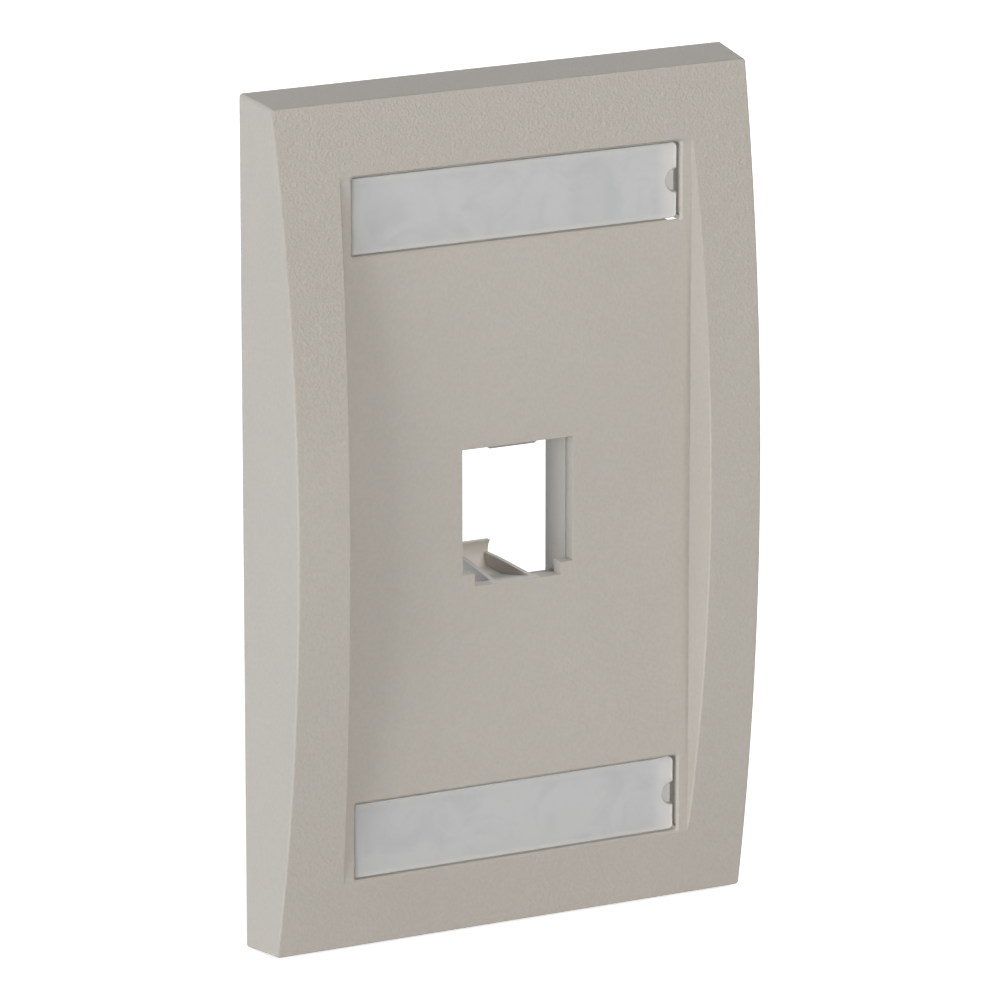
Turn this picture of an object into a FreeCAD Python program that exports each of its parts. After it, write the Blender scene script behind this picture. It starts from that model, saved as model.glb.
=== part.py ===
"""Single-gang keystone faceplate with one module port and two covered label pockets.

Millimetres. X runs right and Z up as seen from the front, and the plate faces -Y.
The origin is the centre of the back rim, which lies against the wall in the plane Y = 0.
A depth is a distance in front of the wall, so a face at depth d lies at Y = -d.
"""
import FreeCAD, Part
import math
import os
from FreeCAD import Vector

# Shell: a drafted box with an arched front
plate_width = 69.85
plate_height = 114.3
edge_depth = 7.75              # depth of the shell at its top and bottom edges
arch_rise = 6.1                # extra depth of the arch at mid height
side_draft = 5.0               # degrees, on all four sides
outer_corner_radius = 0.5
front_edge_radius = 0.3
shell_wall = 2.0

# Flat panel, sunk into the arch so that it runs out at the two ends
panel_depth = 9.6
panel_thickness = 1.8
recess_width = 50.75
recess_draft = 11.0            # degrees, on the two long walls of the recess
recess_cove = 0.15             # round where a long wall meets the panel
crest_radius = 0.25            # round where a long wall meets the arched border

# Label pockets, over the two box screws
screw_spacing = 83.34
pocket_width = 47.6
pocket_height = 10.4
pocket_corner = 0.4
pocket_edge_bevel = 0.25       # on the pocket's rim
pocket_floor = 1.5
pocket_wall = 1.2
lip_thickness = 0.45           # skin of the panel over every undercut in a pocket
snap_groove_reach = 0.6        # undercut behind the lip at the opening end
window_width = 3.4             # moulding window through the tray, half of it past the pocket's end
window_height = 1.6            # it lies beside the pocket, towards the port

# Screw holes, in bosses that reach the wall
screw_hole_radius = 2.0
screw_head_radius = 3.6
countersink_angle = 82.0       # degrees, whole angle
boss_radius = 4.0

# Clear label covers, hooked at the left end and lifted at the right
cover_drop = 0.35              # the cover's face lies this far below the panel
cover_thickness = 1.2
cover_corner = 0.6
cover_edge_radius = 0.2        # round along the rims of both faces
cover_side_gap = 0.2
cover_hinge_gap = 0.15
cover_free_gap = 0.44
nail_notch_radius = 1.6
nail_notch_shallow = 0.15      # depth of the notch at its inner end
nail_notch_deep = 0.95         # depth at the cover's edge
tongue_width = 1.6
tongue_thickness = 0.6
tongue_reach = 1.55            # from the pivot
tongue_spacing = 6.0
tongue_clearance = 0.3

# Paper label cards
card_thickness = 0.2
card_gap = 0.1                 # between the card and the cover
card_side_gap = 0.6
card_end_gap = 1.6

# Module port
port_width = 16.1
port_top = 9.2
port_shoulder = -7.63
port_notch_width = 12.6
port_bottom = -9.3
shroud_wall = 1.6
shroud_step = 0.18             # the shroud's bore is this much inside the port's edge
shroud_depth = 7.4             # behind the panel's face
shelf_drop = 1.0               # the shelves beside the arm lie this far below the port
shelf_depth = 6.15             # behind the panel's face
shelf_thickness = 1.2
catch_width = 7.3
catch_drop = 0.71
catch_setback = 1.6            # behind the panel's face
catch_thickness = 1.35
catch_bevel = 0.35

# Latch arm under the port: a tapered channel that springs down as a module goes in
arm_width = 6.2                # over the rails, where the arm leaves the panel
arm_side_angle = 4.5           # degrees, each side narrows towards the lip
arm_side_gap = 0.5             # slot between the arm and each shelf, at the panel
rail_width = 0.6
rail_climb = 3.0               # degrees, the rails' tops rise towards the lip
ramp_setback = 1.3             # the channel's floor starts here, behind the panel's face
ramp_angle = 11.5              # degrees, fall of the floor's first stretch
ramp_run = 7.2
floor_climb = 4.5              # degrees, rise of the floor from there to the lip
arm_thickness = 1.1
lip_setback = 12.35            # front of the lip's top, behind the panel's face
lip_top = -7.1
lip_width = 1.2                # front to back
lip_chamfer = 0.4
lip_hollow_radius = 2.6
lip_hollow_drop = 1.6          # the hollow is deepest this far below the lip's top

# Stiffening ribs
rib_thickness = 1.2
rib_root = 0.5                 # how far a rib runs into the panel that carries it
web_setback = 1.5              # the border webs stop this far short of the wall
web_spacing = 24.0
web_rows = 4

# Values that follow
margin = 1.0
touch = 0.001                  # two places closer than this are the same
pocket_depth = cover_drop + cover_thickness + card_gap + card_thickness
taper = math.tan(math.radians(side_draft))
front_depth = edge_depth + arch_rise
arch_half_chord = plate_height / 2 - edge_depth * taper
arch_radius = (arch_half_chord ** 2 + arch_rise ** 2) / (2 * arch_rise)
arch_centre_y = arch_radius - front_depth
panel_y = -panel_depth
panel_back_y = panel_y + panel_thickness
pocket_z = screw_spacing / 2
pocket_floor_y = panel_y + pocket_depth
tray_back_y = pocket_floor_y + pocket_floor
lip_y = panel_y + lip_thickness
cover_front_y = panel_y + cover_drop
cover_back_y = cover_front_y + cover_thickness
cover_left = -pocket_width / 2 + cover_hinge_gap
cover_right = pocket_width / 2 - cover_free_gap
cover_height = pocket_height - 2 * cover_side_gap
pivot_radius = cover_thickness / 2
pivot_x = cover_left + pivot_radius
pivot_y = cover_front_y + pivot_radius
shroud_back_y = panel_y + shroud_depth
shelf_z = port_bottom - shelf_drop
shelf_y = panel_y + shelf_depth
shroud_foot_z = shelf_z - shelf_thickness


def box(x0, x1, y0, y1, z0, z1):
    """Block between two corners."""
    return Part.makeBox(x1 - x0, y1 - y0, z1 - z0, Vector(x0, y0, z0))


def rounded_rectangle(width, height, radius, y):
    """Closed wire with round corners, centred on the Y axis in the plane at y."""
    half = [width / 2 - radius, height / 2 - radius]
    arcs = []
    for quarter, (sx, sz) in enumerate([(1, 1), (-1, 1), (-1, -1), (1, -1)]):
        centre = Vector(sx * half[0], y, sz * half[1])
        rim = []
        for step in range(3):
            angle = math.radians(90 * quarter + 45 * step)
            rim.append(centre + Vector(math.cos(angle), 0, math.sin(angle)) * radius)
        arcs.append(rim)
    edges = []
    for rim, following in zip(arcs, arcs[1:] + arcs[:1]):
        edges.append(Part.Arc(*rim).toShape())
        edges.append(Part.LineSegment(rim[2], following[0]).toShape())
    return Part.Wire(edges)


def drafted_block(width, height, radius, y_from, y_to, slope=0.0):
    """Block from y_from to y_to that narrows by the slope on every side."""
    shrink = 2 * abs(y_to - y_from) * slope
    start = rounded_rectangle(width, height, radius, y_from)
    end = rounded_rectangle(width - shrink, height - shrink, radius, y_to)
    return Part.makeLoft([start, end], True, True)


def prism(points, direction):
    """Straight-sided outline pushed along a direction."""
    outline = Part.makePolygon(points + points[:1])
    return Part.Face(outline).extrude(direction)


def arch_block(inset):
    """Everything behind the arched front, or behind a face parallel to it."""
    radius = arch_radius - inset
    z_end = plate_height / 2 + margin
    y_end = arch_centre_y - math.sqrt(radius ** 2 - z_end ** 2)
    x_start = -plate_width / 2 - margin
    low = Vector(x_start, y_end, -z_end)
    crown = Vector(x_start, arch_centre_y - radius, 0)
    high = Vector(x_start, y_end, z_end)
    back = [Vector(x_start, 2 * margin, z_end), Vector(x_start, 2 * margin, -z_end)]
    edges = [Part.Arc(low, crown, high).toShape()]
    for start, end in zip([high] + back, back + [low]):
        edges.append(Part.LineSegment(start, end).toShape())
    return Part.Face(Part.Wire(edges)).extrude(Vector(plate_width + 2 * margin, 0, 0))


def recess_prism(grow, y_back):
    """Trough between the two drafted walls of the recess, widened by grow on each side."""
    slope = math.tan(math.radians(recess_draft))
    y_front = -front_depth - margin
    half_back = recess_width / 2 + grow + (panel_y - y_back) * slope
    half_front = recess_width / 2 + grow + (panel_y - y_front) * slope
    z_end = plate_height / 2 + margin
    outline = [
        Vector(-half_back, y_back, -z_end),
        Vector(half_back, y_back, -z_end),
        Vector(half_front, y_front, -z_end),
        Vector(-half_front, y_front, -z_end),
    ]
    return prism(outline, Vector(0, 0, 2 * z_end))


def edges_where(shape, test):
    """Edges of a shape whose midpoint and direction pass a test."""
    found = []
    for edge in shape.Edges:
        middle = edge.valueAt((edge.FirstParameter + edge.LastParameter) / 2)
        along = edge.tangentAt((edge.FirstParameter + edge.LastParameter) / 2)
        if test(middle, along):
            found.append(edge)
    return found


def upright(along, axis):
    """Does a direction run along one axis, within 30 degrees?"""
    return abs(getattr(along, axis)) > math.cos(math.radians(30))


def shell():
    """Arched and drafted outer form, its recess, and the hollow behind it."""
    outer = drafted_block(
        plate_width, plate_height, outer_corner_radius, 0, -front_depth - margin, taper
    ).common(arch_block(0))
    rim = edges_where(outer, lambda p, t: p.y < touch - edge_depth and not upright(t, "y"))
    outer = outer.makeFillet(front_edge_radius, rim)

    recess = recess_prism(0, panel_y)
    creases = edges_where(recess, lambda p, t: upright(t, "z") and p.y > panel_y - touch)
    outer = outer.cut(recess.makeFillet(recess_cove, creases))
    side_from = plate_width / 2 - front_depth * taper - front_edge_radius
    crests = edges_where(
        outer, lambda p, t: upright(t, "z") and recess_width / 2 < abs(p.x) < side_from
        and p.y < panel_y - recess_cove
    )
    outer = outer.makeFillet(crest_radius, crests)

    spread = 2 * (margin * taper - shell_wall)
    hollow = drafted_block(
        plate_width + spread, plate_height + spread, outer_corner_radius,
        margin, -front_depth, taper,
    ).common(arch_block(shell_wall))
    return outer.cut(hollow.cut(recess_prism(shell_wall, panel_back_y)))


def label_tray(side):
    """Block behind the panel that carries one pocket, with its screw boss."""
    half_x = pocket_width / 2 + pocket_wall
    half_z = pocket_height / 2 + pocket_wall
    z = side * pocket_z
    tray = box(-half_x, half_x, panel_back_y - margin, tray_back_y, z - half_z, z + half_z)
    boss = Part.makeCylinder(
        boss_radius, -pocket_floor_y, Vector(0, pocket_floor_y, z), Vector(0, 1, 0)
    )
    return tray.fuse(boss)


def pocket_cuts(side):
    """Spaces of one label pocket: bevelled mouth, undercuts, tongue holes and screw hole."""
    z = side * pocket_z
    half_x = pocket_width / 2
    half_z = pocket_height / 2
    through_y = tray_back_y + margin
    opening = drafted_block(
        pocket_width, pocket_height, pocket_corner, panel_y - margin, pocket_floor_y
    )
    flare = drafted_block(
        pocket_width + 2 * pocket_edge_bevel, pocket_height + 2 * pocket_edge_bevel,
        pocket_corner, panel_y, panel_y + pocket_edge_bevel, 1,
    )
    cuts = [opening, flare]
    for cut in cuts:
        cut.translate(Vector(0, 0, z))

    groove_half = half_z - pocket_corner
    cuts.append(box(half_x - margin, half_x + snap_groove_reach, lip_y, pocket_floor_y,
                    z - groove_half, z + groove_half))

    window = box(half_x - window_width / 2, half_x + window_width / 2, lip_y, through_y,
                 -window_height / 2, window_height / 2)
    window.translate(Vector(0, 0, z - side * (half_z + window_height / 2)))
    cuts.append(window)

    hole_left = pivot_x - tongue_reach - tongue_clearance
    hole_right = pivot_x + tongue_thickness / 2 + tongue_clearance
    hole_half = tongue_width / 2 + tongue_clearance
    for place in (-1, 1):
        hole_z = z + place * tongue_spacing / 2
        cuts.append(box(hole_left, hole_right, lip_y, through_y,
                        hole_z - hole_half, hole_z + hole_half))

    axis = Vector(0, 1, 0)
    sink = (screw_head_radius - screw_hole_radius) / math.tan(
        math.radians(countersink_angle / 2)
    )
    cuts.append(Part.makeCylinder(
        screw_hole_radius, -pocket_floor_y + margin, Vector(0, pocket_floor_y, z), axis
    ))
    cuts.append(Part.makeCone(
        screw_head_radius, screw_hole_radius, sink, Vector(0, pocket_floor_y, z), axis
    ))
    return cuts


def port_shroud():
    """Walls behind the port that guide a module, before the port is cut."""
    half_x = port_width / 2 + shroud_wall
    return box(-half_x, half_x, panel_back_y - rib_root, shroud_back_y,
               shroud_foot_z, port_top + shroud_wall)


def port_cuts():
    """The port's outline through the panel, the bore behind it and the arm's slot."""
    half = port_width / 2
    notch = port_notch_width / 2
    outline = [
        (-half, port_top), (-half, port_shoulder), (-notch, port_shoulder),
        (-notch, port_bottom), (notch, port_bottom), (notch, port_shoulder),
        (half, port_shoulder), (half, port_top),
    ]
    start_y = panel_y - margin
    mouth = prism(
        [Vector(x, start_y, z) for x, z in outline], Vector(0, panel_back_y - start_y, 0)
    )
    bore_half = half - shroud_step
    bore = box(-bore_half, bore_half, panel_back_y, shroud_back_y + margin,
               shelf_z, port_top - shroud_step)
    behind_shelves = box(-bore_half, bore_half, shelf_y, shroud_back_y + margin,
                         shroud_foot_z - margin, shelf_z + margin)
    slot_half = arm_width / 2 + arm_side_gap
    slot = box(-slot_half, slot_half, panel_back_y, shelf_y + margin,
               shroud_foot_z - margin, shelf_z + margin)
    return [mouth, bore, behind_shelves, slot]


def top_catch():
    """Fixed catch that hangs at the top of the port, with bevelled ends."""
    top = port_top + shroud_wall / 2
    low = port_top - catch_drop
    half = catch_width / 2
    start_y = panel_y + catch_setback
    outline = [
        Vector(-half, start_y, top), Vector(-half, start_y, low + catch_bevel),
        Vector(-half + catch_bevel, start_y, low), Vector(half - catch_bevel, start_y, low),
        Vector(half, start_y, low + catch_bevel), Vector(half, start_y, top),
    ]
    return prism(outline, Vector(0, catch_thickness, 0))


def arm_plan(half_width):
    """Everything between the two sides of the arm, which narrow towards its lip."""
    y_end = panel_y + lip_setback + lip_width + margin
    narrowed = half_width - (y_end - panel_back_y) * math.tan(math.radians(arm_side_angle))
    widened = half_width + (panel_back_y - panel_y) * math.tan(math.radians(arm_side_angle))
    z_low = shroud_foot_z - arm_thickness - margin
    outline = [
        Vector(-widened, panel_y, z_low), Vector(widened, panel_y, z_low),
        Vector(narrowed, y_end, z_low), Vector(-narrowed, y_end, z_low),
    ]
    return prism(outline, Vector(0, 0, lip_top + margin - z_low))


def latch_arm():
    """Channel-shaped spring arm behind the port, with a hollow-faced lip at its end.

    Gives the arm and the channel, which also cuts into the panel's lower edge.
    """
    ramp_y = panel_y + ramp_setback
    valley_y = ramp_y + ramp_run
    valley_z = port_bottom - ramp_run * math.tan(math.radians(ramp_angle))
    lip_top_y = panel_y + lip_setback
    lip_back_y = lip_top_y + lip_width
    hollow_y = lip_top_y - math.sqrt(lip_hollow_radius ** 2 - lip_hollow_drop ** 2)
    hollow_z = lip_top - lip_hollow_drop
    foot_z = valley_z + (hollow_y - valley_y) * math.tan(math.radians(floor_climb))
    rail_rise = (hollow_y - panel_back_y) * math.tan(math.radians(rail_climb))
    under_z = valley_z - arm_thickness
    across = Vector(arm_width + 2 * margin, 0, 0)
    x = -across.x / 2

    side_view = [
        Vector(x, panel_back_y - rib_root, shroud_foot_z),
        Vector(x, panel_back_y - rib_root, port_bottom),
        Vector(x, panel_back_y, port_bottom),
        Vector(x, hollow_y, port_bottom + rail_rise),
        Vector(x, hollow_y, lip_top),
        Vector(x, lip_back_y - lip_chamfer, lip_top),
        Vector(x, lip_back_y, lip_top - lip_chamfer),
        Vector(x, lip_back_y, under_z),
        Vector(x, valley_y, under_z),
    ]
    lip_hollow = Part.makeCylinder(
        lip_hollow_radius, across.x, Vector(x, hollow_y, hollow_z), Vector(1, 0, 0)
    )
    above_rails = box(x, -x, hollow_y - lip_hollow_radius, lip_back_y,
                      port_bottom + rail_rise, lip_top + margin)
    arm = prism(side_view, across).cut(lip_hollow.common(above_rails))
    arm = arm.common(arm_plan(arm_width / 2))

    channel = prism([
        Vector(x, ramp_y, port_bottom), Vector(x, valley_y, valley_z),
        Vector(x, hollow_y, foot_z), Vector(x, hollow_y, lip_top + margin),
        Vector(x, ramp_y, lip_top + margin),
    ], across)
    above_floor = box(x, -x, hollow_y, lip_back_y, foot_z, lip_top + margin)
    channel = channel.fuse(lip_hollow.common(above_floor))
    return arm, channel.common(arm_plan(arm_width / 2 - rail_width))


def panel_ribs():
    """Two low ribs behind the panel, from one tray past the shroud's sides to the other."""
    x = port_width / 2 + shroud_wall - rib_thickness / 2
    z = pocket_z - pocket_height / 2
    return [
        box(side * x - rib_thickness / 2, side * x + rib_thickness / 2,
            panel_back_y - rib_root, tray_back_y, -z, z)
        for side in (-1, 1)
    ]


def border_webs():
    """Webs across the hollow of the arched border, from the recess's wall to the side wall."""
    core = drafted_block(
        plate_width - shell_wall, plate_height - shell_wall, outer_corner_radius,
        0, -front_depth, taper,
    ).common(arch_block(shell_wall / 2))
    x = recess_width / 2 + shell_wall / 2
    webs = []
    for row in range(web_rows):
        z = (row - (web_rows - 1) / 2) * web_spacing
        for side in (-1, 1):
            inner, outer = sorted([side * x, side * plate_width / 2])
            web = box(inner, outer, -front_depth, -web_setback,
                      z - rib_thickness / 2, z + rib_thickness / 2)
            webs.append(web.common(core))
    return webs


def faceplate():
    plate = shell()
    for side in (-1, 1):
        plate = plate.fuse(label_tray(side))
    plate = plate.fuse(port_shroud())
    plate = plate.fuse(panel_ribs() + border_webs())
    for side in (-1, 1):
        plate = plate.cut(pocket_cuts(side))
    arm, channel = latch_arm()
    plate = plate.cut(port_cuts()).fuse([top_catch(), arm])
    return plate.cut(channel).removeSplitter()


def nail_notch():
    """Half-round scoop at the cover's free end, deeper towards the edge."""
    disc = Part.makeCylinder(
        nail_notch_radius, margin + cover_thickness,
        Vector(cover_right, cover_front_y - margin, 0), Vector(0, 1, 0),
    )
    inner_x = cover_right - nail_notch_radius
    outer_x = cover_right + margin
    fall = (nail_notch_deep - nail_notch_shallow) / nail_notch_radius
    outer_depth = nail_notch_deep + margin * fall
    z = -nail_notch_radius - margin
    wedge = prism([
        Vector(inner_x, cover_front_y - margin, z),
        Vector(inner_x, cover_front_y + nail_notch_shallow, z),
        Vector(outer_x, cover_front_y + outer_depth, z),
        Vector(outer_x, cover_front_y - margin, z),
    ], Vector(0, 0, -2 * z))
    return disc.common(wedge)


def label_cover(side):
    """Clear cover over one label, with hinge tongues at the left and a nail notch."""
    half_z = cover_height / 2
    slab = drafted_block(
        cover_right - pivot_x + 2 * cover_corner, cover_height, cover_corner,
        cover_back_y, cover_front_y,
    )
    slab.translate(Vector((cover_right + pivot_x) / 2 - cover_corner, 0, 0))
    slab = slab.common(box(pivot_x, cover_right, cover_front_y, cover_back_y,
                           -half_z, half_z))
    roll = Part.makeCylinder(
        pivot_radius, cover_height, Vector(pivot_x, pivot_y, -half_z), Vector(0, 0, 1)
    )
    cover = slab.fuse(roll).removeSplitter()
    rim = edges_where(
        cover, lambda p, t: p.y < cover_front_y + touch
        or p.x < pivot_x - touch and abs(p.z) > half_z - touch
    )
    cover = cover.makeFillet(cover_edge_radius, rim)
    tongue_half = tongue_thickness / 2
    for place in (-1, 1):
        tongue_z = place * tongue_spacing / 2
        cover = cover.fuse(box(
            pivot_x - tongue_reach, pivot_x, pivot_y - tongue_half, pivot_y + tongue_half,
            tongue_z - tongue_width / 2, tongue_z + tongue_width / 2,
        ))
    cover = cover.cut(nail_notch()).removeSplitter()
    cover.translate(Vector(0, 0, side * pocket_z))
    return cover


def label_card(side):
    """Paper strip lying on a pocket's floor under its cover."""
    half_x = pocket_width / 2 - card_end_gap
    half_z = pocket_height / 2 - card_side_gap
    z = side * pocket_z
    return box(-half_x, half_x, pocket_floor_y - card_thickness, pocket_floor_y,
               z - half_z, z + half_z)


nodes = {
    "faceplate": faceplate(),
    "label_cover_top": label_cover(1),
    "label_cover_bottom": label_cover(-1),
    "label_card_top": label_card(1),
    "label_card_bottom": label_card(-1),
}

os.makedirs("parts", exist_ok=True)
for name, shape in nodes.items():
    shape.exportStep(f"parts/{name}.step")
    print(name, len(shape.Solids), shape.isValid(), round(shape.Volume, 1))
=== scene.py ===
"""Keystone faceplate: finishes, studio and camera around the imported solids.

Metres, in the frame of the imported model: X right and Z up as seen from the front, the wall in
the plane Y = 0 and the plate facing -Y.
"""
import math

import bmesh
import bpy
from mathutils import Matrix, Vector


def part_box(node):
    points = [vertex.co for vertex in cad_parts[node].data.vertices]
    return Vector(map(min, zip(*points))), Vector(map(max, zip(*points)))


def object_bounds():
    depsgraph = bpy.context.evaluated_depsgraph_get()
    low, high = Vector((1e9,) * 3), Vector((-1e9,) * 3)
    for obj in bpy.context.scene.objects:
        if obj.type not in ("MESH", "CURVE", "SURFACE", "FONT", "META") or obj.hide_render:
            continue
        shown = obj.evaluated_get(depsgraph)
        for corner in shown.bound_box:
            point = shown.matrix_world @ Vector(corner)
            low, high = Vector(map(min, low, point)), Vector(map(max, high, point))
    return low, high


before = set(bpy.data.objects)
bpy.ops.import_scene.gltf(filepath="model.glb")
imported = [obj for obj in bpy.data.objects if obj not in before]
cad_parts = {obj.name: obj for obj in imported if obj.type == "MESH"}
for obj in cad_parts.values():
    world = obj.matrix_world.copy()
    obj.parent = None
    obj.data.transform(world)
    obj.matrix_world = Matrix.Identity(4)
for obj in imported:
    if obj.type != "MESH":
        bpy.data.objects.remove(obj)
cad_low, cad_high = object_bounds()
MM = 0.001

# Places on the faceplate that its finishes follow
PLATE_LOW, PLATE_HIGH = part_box("faceplate")
PANEL_Y = -9.6 * MM
EDGE_DEPTH = 7.75 * MM
ARCH_RISE = -PLATE_LOW.y - EDGE_DEPTH
SIDE_DRAFT = math.radians(5.0)
ARCH_HALF_CHORD = PLATE_HIGH.z - EDGE_DEPTH * math.tan(SIDE_DRAFT)
ARCH_RADIUS = (ARCH_HALF_CHORD ** 2 + ARCH_RISE ** 2) / (2 * ARCH_RISE)
ARCH_CENTRE_Y = PLATE_LOW.y + ARCH_RADIUS
CARD_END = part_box("label_card_top")[1].x
COVER_LOW, COVER_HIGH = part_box("label_cover_top")
COVER_HALF_HEIGHT = (COVER_HIGH.z - COVER_LOW.z) / 2
POCKET_Z = (COVER_HIGH.z + COVER_LOW.z) / 2
NOTCH_RADIUS = 1.6 * MM
BORE_HALF_WIDTH = 8.0 * MM
BORE_LOW = -14.0 * MM
BORE_HIGH = 8.6 * MM
ARM_HALF_WIDTH = 3.4 * MM
ARM_TOP = -7.0 * MM
MASK_BLEND = 0.2 * MM          # width over which a mask of the port fades out
GRAIN_FULL_Z = 40 * MM         # the border's grain is at full strength from here up
GRAIN_LOW_SHARE = 0.22         # and this strong at mid height and below

# Colours, as red, green, blue and opacity
PLATE_COLOUR = (0.484, 0.447, 0.395, 1)
# Darker tone for drift and specks, and for the painted shade in the grain's hollows
PLATE_DEEPER = (0.448, 0.412, 0.360, 1)
# Painted light: paler colour of the latch arm, for light reaching it through the port
ARM_PAINTED_LIGHT = (0.61, 0.57, 0.515, 1)
COVER_COLOUR = (0.648, 0.643, 0.622, 1)
COVER_STREAKS = (0.59, 0.587, 0.578, 1)
# Painted highlight along the cover's rounded long edges, which also hides the shaded gap round it
COVER_EDGE_PAINTED_HIGHLIGHT = (0.73, 0.725, 0.69, 1)
# Painted light at the cover's hooked end, kept darker than the snap end as painted shade
COVER_HOOKED_END_PAINTED_LIGHT = (0.69, 0.685, 0.655, 1)
# Painted light at the cover's snap end, where no card lies behind it
COVER_SNAP_END_PAINTED_LIGHT = (0.80, 0.785, 0.75, 1)
# Painted shadow round the rim of the cover's nail notch
COVER_NOTCH_PAINTED_SHADOW = (0.50, 0.49, 0.46, 1)
CARD_COLOUR = (0.61, 0.605, 0.595, 1)
CARD_SMUDGES = (0.53, 0.52, 0.535, 1)
SKY_COLOUR = (0.90, 1.0, 1.16, 1)
WHITE = (1.0, 1.0, 1.0, 1)

# Camera, aimed at a point near the plate's middle
CAMERA_AZIMUTH = -27.169       # degrees
CAMERA_ELEVATION = 15.344      # degrees
CAMERA_DISTANCE = 1025.022 * MM
CAMERA_TARGET = Vector((2.319, 0.0, -1.063)) * MM
CAMERA_LENS = 281.463          # millimetres, for a sensor 36 mm wide
CAMERA_SENSOR = 36.0


# ---------------------------------------------------------------- shader helpers

def new_node(tree, kind, **settings):
    node = tree.nodes.new(kind)
    for key, value in settings.items():
        setattr(node, key, value)
    return node


def wire(tree, target, value):
    """Feeds a socket from another socket, or sets it to a plain value."""
    if isinstance(value, bpy.types.NodeSocket):
        tree.links.new(value, target)
    else:
        target.default_value = value


def maths(tree, operation, *values, clamp=False):
    node = new_node(tree, "ShaderNodeMath", operation=operation, use_clamp=clamp)
    for socket, value in zip(node.inputs, values):
        wire(tree, socket, value)
    return node.outputs[0]


def ramp(tree, value, low, high, out_low=0.0, out_high=1.0):
    """Smooth step of a value between two levels."""
    node = new_node(tree, "ShaderNodeMapRange", interpolation_type="SMOOTHSTEP")
    for socket, entry in zip(node.inputs[:5], (value, low, high, out_low, out_high)):
        wire(tree, socket, entry)
    return node.outputs[0]


def length_of(tree, across, up):
    """Length of a flat offset given by its two parts."""
    squares = maths(tree, "ADD", maths(tree, "MULTIPLY", across, across),
                    maths(tree, "MULTIPLY", up, up))
    return maths(tree, "SQRT", squares)


def separate(tree, place):
    """X, Y and Z of a place."""
    split = new_node(tree, "ShaderNodeSeparateXYZ")
    wire(tree, split.inputs[0], place)
    return split.outputs


def bump_normal(tree, height, distance, strength=1.0, under=None):
    """Normal of a bumped surface, on top of another bump where one is given."""
    node = new_node(tree, "ShaderNodeBump")
    wire(tree, node.inputs["Strength"], strength)
    wire(tree, node.inputs["Distance"], distance)
    wire(tree, node.inputs["Height"], height)
    if under is not None:
        wire(tree, node.inputs["Normal"], under)
    return node.outputs[0]


def blend_colour(tree, share, first, second):
    """First colour where the share is 0, second where it is 1."""
    node = new_node(tree, "ShaderNodeMix", data_type="RGBA")
    wire(tree, node.inputs[0], share)
    wire(tree, node.inputs[6], first)
    wire(tree, node.inputs[7], second)
    return node.outputs[2]


def noise(tree, place, scale, detail=2.0, roughness=0.5, distortion=0.0):
    node = new_node(tree, "ShaderNodeTexNoise", noise_dimensions="3D")
    wire(tree, node.inputs["Vector"], place)
    wire(tree, node.inputs["Scale"], scale)
    wire(tree, node.inputs["Detail"], detail)
    wire(tree, node.inputs["Roughness"], roughness)
    wire(tree, node.inputs["Distortion"], distortion)
    return node.outputs["Fac"]


def shader_group(name, inputs, outputs):
    """Empty node group with named sockets; inputs give kind and first value."""
    group = bpy.data.node_groups.new(name, "ShaderNodeTree")
    for label, kind, value in inputs:
        socket = group.interface.new_socket(
            label, in_out="INPUT", socket_type="NodeSocket" + kind
        )
        if value is not None:
            socket.default_value = value
    for label, kind in outputs:
        group.interface.new_socket(
            label, in_out="OUTPUT", socket_type="NodeSocket" + kind
        )
    return group, group.nodes.new("NodeGroupInput"), group.nodes.new("NodeGroupOutput")


def pebble_grain_group():
    """Height of a moulded pebble texture: rounded grains of mixed size with worn tops."""
    group, given, out = shader_group(
        "pebble_grain",
        [("Place", "Vector", None), ("Grain Size", "Float", 0.0006),
         ("Softness", "Float", 0.5)],
        [("Height", "Float")],
    )
    place = given.outputs["Place"]
    scale = maths(group, "DIVIDE", 1.0, given.outputs["Grain Size"])
    wide = noise(group, place, scale, 1.5, 0.55, 0.35)
    cells = new_node(group, "ShaderNodeTexVoronoi", feature="SMOOTH_F1")
    wire(group, cells.inputs["Vector"], place)
    wire(group, cells.inputs["Scale"], maths(group, "MULTIPLY", scale, 1.15))
    wire(group, cells.inputs["Smoothness"], given.outputs["Softness"])
    domes = maths(group, "SUBTRACT", 1.0, cells.outputs["Distance"])
    height = maths(group, "MULTIPLY_ADD", domes, 0.55, maths(group, "MULTIPLY", wide, 0.9))
    wire(group, out.inputs["Height"], height)
    return group


def tone_drift_group():
    """Colour that drifts slightly over a moulding, deeper in specks and where painted shade is
    given.
    """
    group, given, out = shader_group(
        "tone_drift",
        [("Place", "Vector", None), ("Colour", "Color", (0.5, 0.5, 0.5, 1)),
         ("Deeper Colour", "Color", (0.4, 0.4, 0.4, 1)), ("Drift", "Float", 0.5),
         ("Speck Amount", "Float", 0.3), ("Hollows", "Float", 0.0)],
        [("Colour", "Color")],
    )
    place = given.outputs["Place"]
    slow = noise(group, place, 38.0, 3.0, 0.55)
    tone = maths(group, "MULTIPLY", ramp(group, slow, 0.3, 0.7), given.outputs["Drift"])
    fine = noise(group, place, 2600.0, 1.0)
    specks = maths(group, "MULTIPLY", ramp(group, fine, 0.72, 0.82),
                   given.outputs["Speck Amount"])
    share = maths(group, "ADD", maths(group, "ADD", tone, specks),
                  given.outputs["Hollows"], clamp=True)
    colour = blend_colour(group, share, given.outputs["Colour"],
                          given.outputs["Deeper Colour"])
    wire(group, out.inputs["Colour"], colour)
    return group


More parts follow.
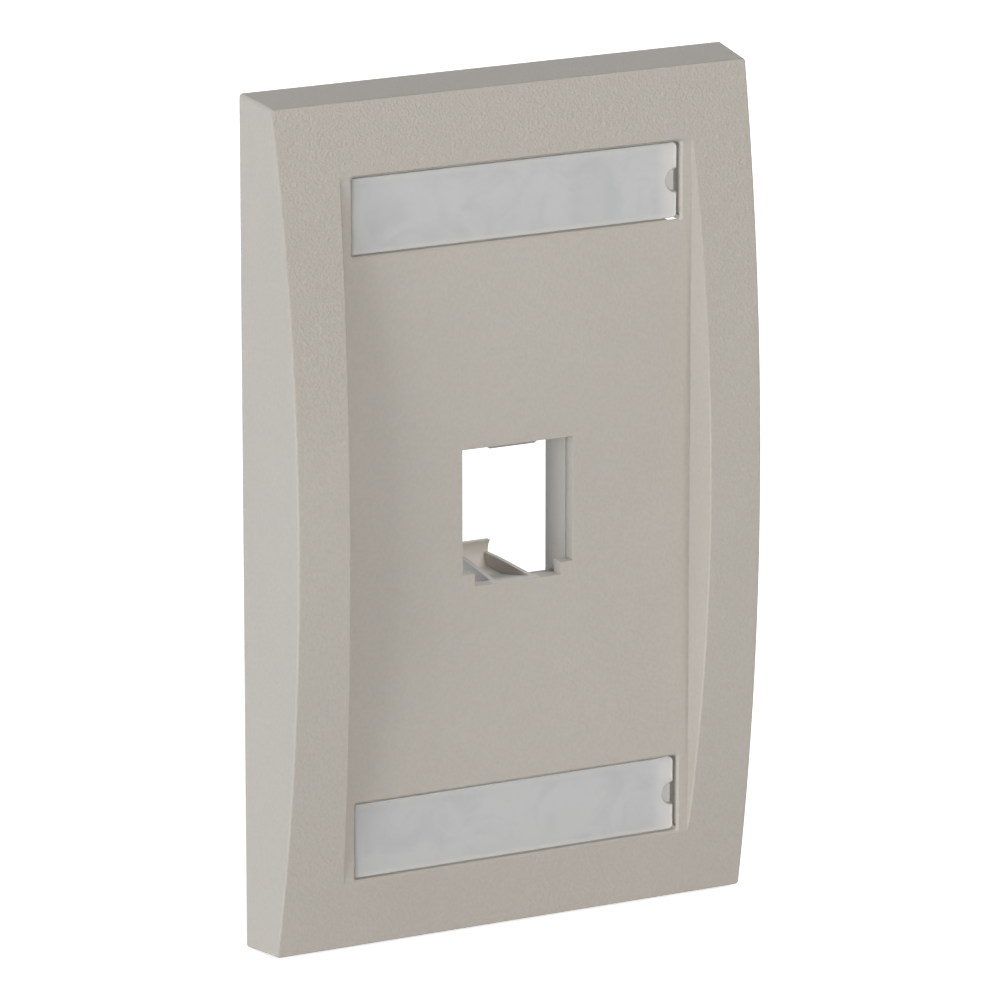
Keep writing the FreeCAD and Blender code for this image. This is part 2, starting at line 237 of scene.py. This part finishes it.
def face_masks_group():
    """Masks of the grained arched border, the port's smoother bore and its thin latch arm."""
    group, given, out = shader_group(
        "face_masks",
        [("Place", "Vector", None)],
        [("Border", "Float"), ("Port Bore", "Float"), ("Latch Arm", "Float")],
    )
    x, y, z = separate(group, given.outputs["Place"])
    radius = length_of(group, maths(group, "SUBTRACT", y, ARCH_CENTRE_Y), z)
    off_arch = maths(group, "ABSOLUTE", maths(group, "SUBTRACT", radius, ARCH_RADIUS))
    border = ramp(group, off_arch, 0.03 * MM, 0.12 * MM, 1.0, 0.0)
    wire(group, out.inputs["Border"], border)
    off_middle = maths(group, "ABSOLUTE", x)
    sides = ramp(group, off_middle, BORE_HALF_WIDTH, BORE_HALF_WIDTH + MASK_BLEND, 1.0, 0.0)
    span = maths(group, "MULTIPLY", ramp(group, z, BORE_LOW - MASK_BLEND, BORE_LOW),
                 ramp(group, z, BORE_HIGH, BORE_HIGH + MASK_BLEND, 1.0, 0.0))
    behind = ramp(group, y, PANEL_Y + 0.05 * MM, PANEL_Y + 0.25 * MM)
    bore = maths(group, "MULTIPLY", behind, maths(group, "MULTIPLY", sides, span))
    wire(group, out.inputs["Port Bore"], bore)
    narrow = ramp(group, off_middle, ARM_HALF_WIDTH, ARM_HALF_WIDTH + MASK_BLEND, 1.0, 0.0)
    low = ramp(group, z, ARM_TOP, ARM_TOP + MASK_BLEND, 1.0, 0.0)
    wire(group, out.inputs["Latch Arm"],
         maths(group, "MULTIPLY", bore, maths(group, "MULTIPLY", narrow, low)))
    return group


def cover_ends_group():
    """Masks of a cover's two ends, its rounded long edges and the rim of its nail notch."""
    group, given, out = shader_group(
        "cover_ends", [("Place", "Vector", None)],
        [("Hooked End", "Float"), ("Snap End", "Float"), ("Long Edges", "Float"),
         ("Notch Rim", "Float")],
    )
    x, _, z = separate(group, given.outputs["Place"])
    wire(group, out.inputs["Snap End"],
         ramp(group, x, CARD_END - 2.2 * MM, CARD_END + 0.8 * MM))
    wire(group, out.inputs["Hooked End"],
         ramp(group, x, COVER_LOW.x, -CARD_END + 0.8 * MM, 1.0, 0.0))
    off_middle = maths(group, "SUBTRACT", maths(group, "ABSOLUTE", z), POCKET_Z)
    wire(group, out.inputs["Long Edges"],
         ramp(group, maths(group, "ABSOLUTE", off_middle), COVER_HALF_HEIGHT - 1.0 * MM,
              COVER_HALF_HEIGHT))
    radius = length_of(group, maths(group, "SUBTRACT", x, COVER_HIGH.x), off_middle)
    off_rim = maths(group, "ABSOLUTE", maths(group, "SUBTRACT", radius, NOTCH_RADIUS))
    wire(group, out.inputs["Notch Rim"],
         ramp(group, off_rim, 0.04 * MM, 0.20 * MM, 1.0, 0.0))
    return group


PEBBLE_GRAIN = pebble_grain_group()
TONE_DRIFT = tone_drift_group()
FACE_MASKS = face_masks_group()
COVER_ENDS = cover_ends_group()


def use_group(tree, group, **values):
    node = new_node(tree, "ShaderNodeGroup", node_tree=group)
    for label, value in values.items():
        wire(tree, node.inputs[label.replace("_", " ")], value)
    return node.outputs


def new_material(name):
    """Material with a Principled shader: its tree, shader, output and object coordinates."""
    material = bpy.data.materials.new(name)
    material.use_nodes = True
    tree = material.node_tree
    tree.nodes.clear()
    output = new_node(tree, "ShaderNodeOutputMaterial")
    shader = new_node(tree, "ShaderNodeBsdfPrincipled")
    tree.links.new(shader.outputs[0], output.inputs["Surface"])
    place = new_node(tree, "ShaderNodeTexCoord").outputs["Object"]
    return material, tree, shader, output, place


# ---------------------------------------------------------------- finishes

def plate_plastic():
    """Warm grey moulded plastic, pebble-grained on the border and fine matte elsewhere."""
    material, tree, shader, _, place = new_material("plate_plastic_moulded")
    masks = use_group(tree, FACE_MASKS, Place=place)
    border, bore = masks["Border"], masks["Port Bore"]
    height = separate(tree, place)[2]
    depth = maths(tree, "MULTIPLY", border,
                  ramp(tree, height, 0.0, GRAIN_FULL_Z, GRAIN_LOW_SHARE, 1.0))
    pebble = use_group(tree, PEBBLE_GRAIN, Place=place, Grain_Size=0.40 * MM,
                       Softness=0.6)["Height"]
    fine = noise(tree, place, 1900.0, 1.0, 0.5)
    # Painted shade: the colour darkens in the hollows of the pebble grain and of the fine texture,
    # the pebble part more strongly towards the top
    painted_hollow_shade = maths(tree, "MULTIPLY_ADD", ramp(tree, pebble, 0.65, 1.05, 0.8, 0.0), depth,
                    ramp(tree, fine, 0.3, 0.7, 0.45, 0.0))
    tone = use_group(
        tree, TONE_DRIFT, Place=place, Colour=PLATE_COLOUR, Deeper_Colour=PLATE_DEEPER,
        Drift=0.35, Speck_Amount=0.2, Hollows=painted_hollow_shade,
    )
    # Painted light: the latch arm is given a paler colour than the walls round it, for the light
    # that reaches it through the port
    wire(tree, shader.inputs["Base Color"],
         blend_colour(tree, masks["Latch Arm"], tone["Colour"], ARM_PAINTED_LIGHT))
    wire(tree, shader.inputs["Subsurface Weight"], 0.35)
    wire(tree, shader.inputs["Subsurface Radius"], (1.0, 0.85, 0.6))
    wire(tree, shader.inputs["Subsurface Scale"], 0.6 * MM)
    wire(tree, shader.inputs["Specular IOR Level"], 0.2)
    matte = maths(tree, "MULTIPLY_ADD", fine, 0.10, 0.46)
    wire(tree, shader.inputs["Roughness"], maths(tree, "MULTIPLY_ADD", bore, -0.12, matte))
    grained = bump_normal(tree, maths(tree, "MULTIPLY", pebble, depth), 0.10 * MM)
    fine_height = maths(tree, "MULTIPLY", fine, maths(tree, "MULTIPLY_ADD", bore, -0.8, 1.0))
    wire(tree, shader.inputs["Normal"],
         bump_normal(tree, fine_height, 0.06 * MM, under=grained))
    return material


def clear_plastic():
    """Milky clear moulded cover, with painted highlights on its long edges, painted light on its
    ends (less on the hooked end, as painted shade) and a painted shadow round its nail notch.
    """
    material, tree, shader, output, place = new_material("clear_cover_plastic")
    masks = use_group(tree, COVER_ENDS, Place=place)
    smears = noise(tree, place, 150.0, 3.0, 0.6, 0.8)
    streaks = ramp(tree, smears, 0.38, 0.68)
    colour = blend_colour(tree, streaks, COVER_COLOUR, COVER_STREAKS)
    # Painted light on the cover's edges and ends, painted shade at its hooked end and a painted
    # shadow round its nail notch
    for label, tint in (("Long Edges", COVER_EDGE_PAINTED_HIGHLIGHT), ("Hooked End", COVER_HOOKED_END_PAINTED_LIGHT),
                        ("Snap End", COVER_SNAP_END_PAINTED_LIGHT), ("Notch Rim", COVER_NOTCH_PAINTED_SHADOW)):
        colour = blend_colour(tree, masks[label], colour, tint)
    wire(tree, shader.inputs["Base Color"], colour)
    wire(tree, shader.inputs["IOR"], 1.49)
    wire(tree, shader.inputs["Transmission Weight"], 0.55)
    wire(tree, shader.inputs["Roughness"], maths(tree, "MULTIPLY_ADD", streaks, 0.06, 0.08))
    wire(tree, shader.inputs["Normal"], bump_normal(tree, smears, 0.03 * MM, 0.2))
    # Lamplight passes the cover unbent, so that the card below it is lit
    pass_light = new_node(tree, "ShaderNodeBsdfTransparent")
    wire(tree, pass_light.inputs["Color"], (0.85, 0.85, 0.85, 1))
    rays = new_node(tree, "ShaderNodeLightPath")
    mix = new_node(tree, "ShaderNodeMixShader")
    wire(tree, mix.inputs[0], maths(tree, "MAXIMUM", rays.outputs["Is Shadow Ray"],
                                    rays.outputs["Is Diffuse Ray"]))
    tree.links.new(shader.outputs[0], mix.inputs[1])
    tree.links.new(pass_light.outputs[0], mix.inputs[2])
    tree.links.new(mix.outputs[0], output.inputs["Surface"])
    return material


def label_paper():
    """Plain white card with faint fibres and smudges."""
    material, tree, shader, _, place = new_material("label_card_paper")
    smudge = noise(tree, place, 130.0, 4.0, 0.6, 0.6)
    fibre = noise(tree, place, 1900.0, 3.0, 0.65)
    shade = maths(tree, "ADD", ramp(tree, smudge, 0.42, 0.72, 0.0, 0.75),
                  maths(tree, "MULTIPLY", fibre, 0.2), clamp=True)
    wire(tree, shader.inputs["Base Color"],
         blend_colour(tree, shade, CARD_COLOUR, CARD_SMUDGES))
    wire(tree, shader.inputs["Roughness"], maths(tree, "MULTIPLY_ADD", fibre, 0.2, 0.7))
    wire(tree, shader.inputs["Normal"], bump_normal(tree, fibre, 0.02 * MM, 0.3))
    return material


FINISHES = {
    "faceplate": plate_plastic(),
    "label_cover_top": clear_plastic(),
    "label_card_top": label_paper(),
}
FINISHES["label_cover_bottom"] = FINISHES["label_cover_top"]
FINISHES["label_card_bottom"] = FINISHES["label_card_top"]
for node_name, finish in FINISHES.items():
    for material_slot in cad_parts[node_name].material_slots:
        material_slot.material = finish


# ---------------------------------------------------------------- studio

def background_rays(tree):
    """1 for rays that see the background: from the camera, or off gloss or through glass."""
    rays = new_node(tree, "ShaderNodeLightPath")
    seen = maths(tree, "MAXIMUM", rays.outputs["Is Camera Ray"],
                 rays.outputs["Is Glossy Ray"])
    seen = maths(tree, "MAXIMUM", seen, rays.outputs["Is Transmission Ray"])
    unscattered = maths(tree, "LESS_THAN", rays.outputs["Diffuse Depth"], 0.5)
    return maths(tree, "MULTIPLY", seen, unscattered)


def studio_floor():
    """White floor six metres wide under the plate's lower edge, which glows for the camera."""
    half_size = 3.0
    form = bmesh.new()
    bmesh.ops.create_grid(form, x_segments=1, y_segments=1, size=half_size)
    bmesh.ops.translate(form, verts=form.verts, vec=(0, 0, cad_low.z))
    mesh = bpy.data.meshes.new("studio_floor")
    form.to_mesh(mesh)
    form.free()
    floor = bpy.data.objects.new("studio_floor", mesh)
    bpy.context.scene.collection.objects.link(floor)
    material, tree, shader, output, _ = new_material("studio_floor_white")
    wire(tree, shader.inputs["Base Color"], (0.8, 0.8, 0.8, 1))
    wire(tree, shader.inputs["Roughness"], 0.9)
    wire(tree, shader.inputs["Specular IOR Level"], 0.0)
    glow = new_node(tree, "ShaderNodeEmission")
    wire(tree, glow.inputs["Strength"], maths(tree, "MULTIPLY", background_rays(tree), 0.8))
    both = new_node(tree, "ShaderNodeAddShader")
    tree.links.new(shader.outputs[0], both.inputs[0])
    tree.links.new(glow.outputs[0], both.inputs[1])
    tree.links.new(both.outputs[0], output.inputs["Surface"])
    mesh.materials.append(material)


def studio_sky():
    """Plain white to the eye, and a weak cool light on the plate."""
    world = bpy.data.worlds.new("studio_sky")
    bpy.context.scene.world = world
    world.use_nodes = True
    tree = world.node_tree
    tree.nodes.clear()
    output = new_node(tree, "ShaderNodeOutputWorld")
    sky = new_node(tree, "ShaderNodeBackground")
    seen = background_rays(tree)
    wire(tree, sky.inputs["Color"],
         blend_colour(tree, seen, SKY_COLOUR, WHITE))
    wire(tree, sky.inputs["Strength"], ramp(tree, seen, 0.0, 1.0, 0.22, 1.0))
    tree.links.new(sky.outputs[0], output.inputs["Surface"])


def back_vector(azimuth, elevation):
    """Direction from the plate to a place round it, with both angles in degrees."""
    a, e = math.radians(azimuth), math.radians(elevation)
    return Vector((math.sin(a) * math.cos(e), -math.cos(a) * math.cos(e), math.sin(e)))


def softbox(name, azimuth, elevation, distance, power, colour):
    """Round lamp, half as wide as it is far away, that faces the plate."""
    lamp = bpy.data.lights.new(name, "AREA")
    lamp.shape = "DISK"
    lamp.size = distance / 2
    lamp.energy = power
    lamp.color = colour
    lamp_object = bpy.data.objects.new(name, lamp)
    bpy.context.scene.collection.objects.link(lamp_object)
    back = back_vector(azimuth, elevation)
    lamp_object.location = back * distance
    lamp_object.rotation_euler = back.to_track_quat("Z", "Y").to_euler()


def studio_camera():
    back = back_vector(CAMERA_AZIMUTH, CAMERA_ELEVATION)
    camera = bpy.data.cameras.new("studio_camera")
    camera.lens = CAMERA_LENS
    camera.sensor_width = CAMERA_SENSOR
    camera.clip_start = 0.05
    camera_object = bpy.data.objects.new("studio_camera", camera)
    bpy.context.scene.collection.objects.link(camera_object)
    camera_object.location = CAMERA_TARGET + back * CAMERA_DISTANCE
    camera_object.rotation_euler = back.to_track_quat("Z", "Y").to_euler()
    bpy.context.scene.camera = camera_object


studio_floor()
studio_sky()
softbox("side_softbox", -75, 0, 2.0, 50.0, (0.975, 1.0, 1.03))
softbox("front_softbox", 12, 31, 2.4, 31.0, (1.02, 1.0, 0.98))
softbox("rear_softbox", 180, 8, 1.2, 8.0, (0.90, 1.0, 1.14))
studio_camera()
bpy.context.scene.view_settings.view_transform = "Standard"
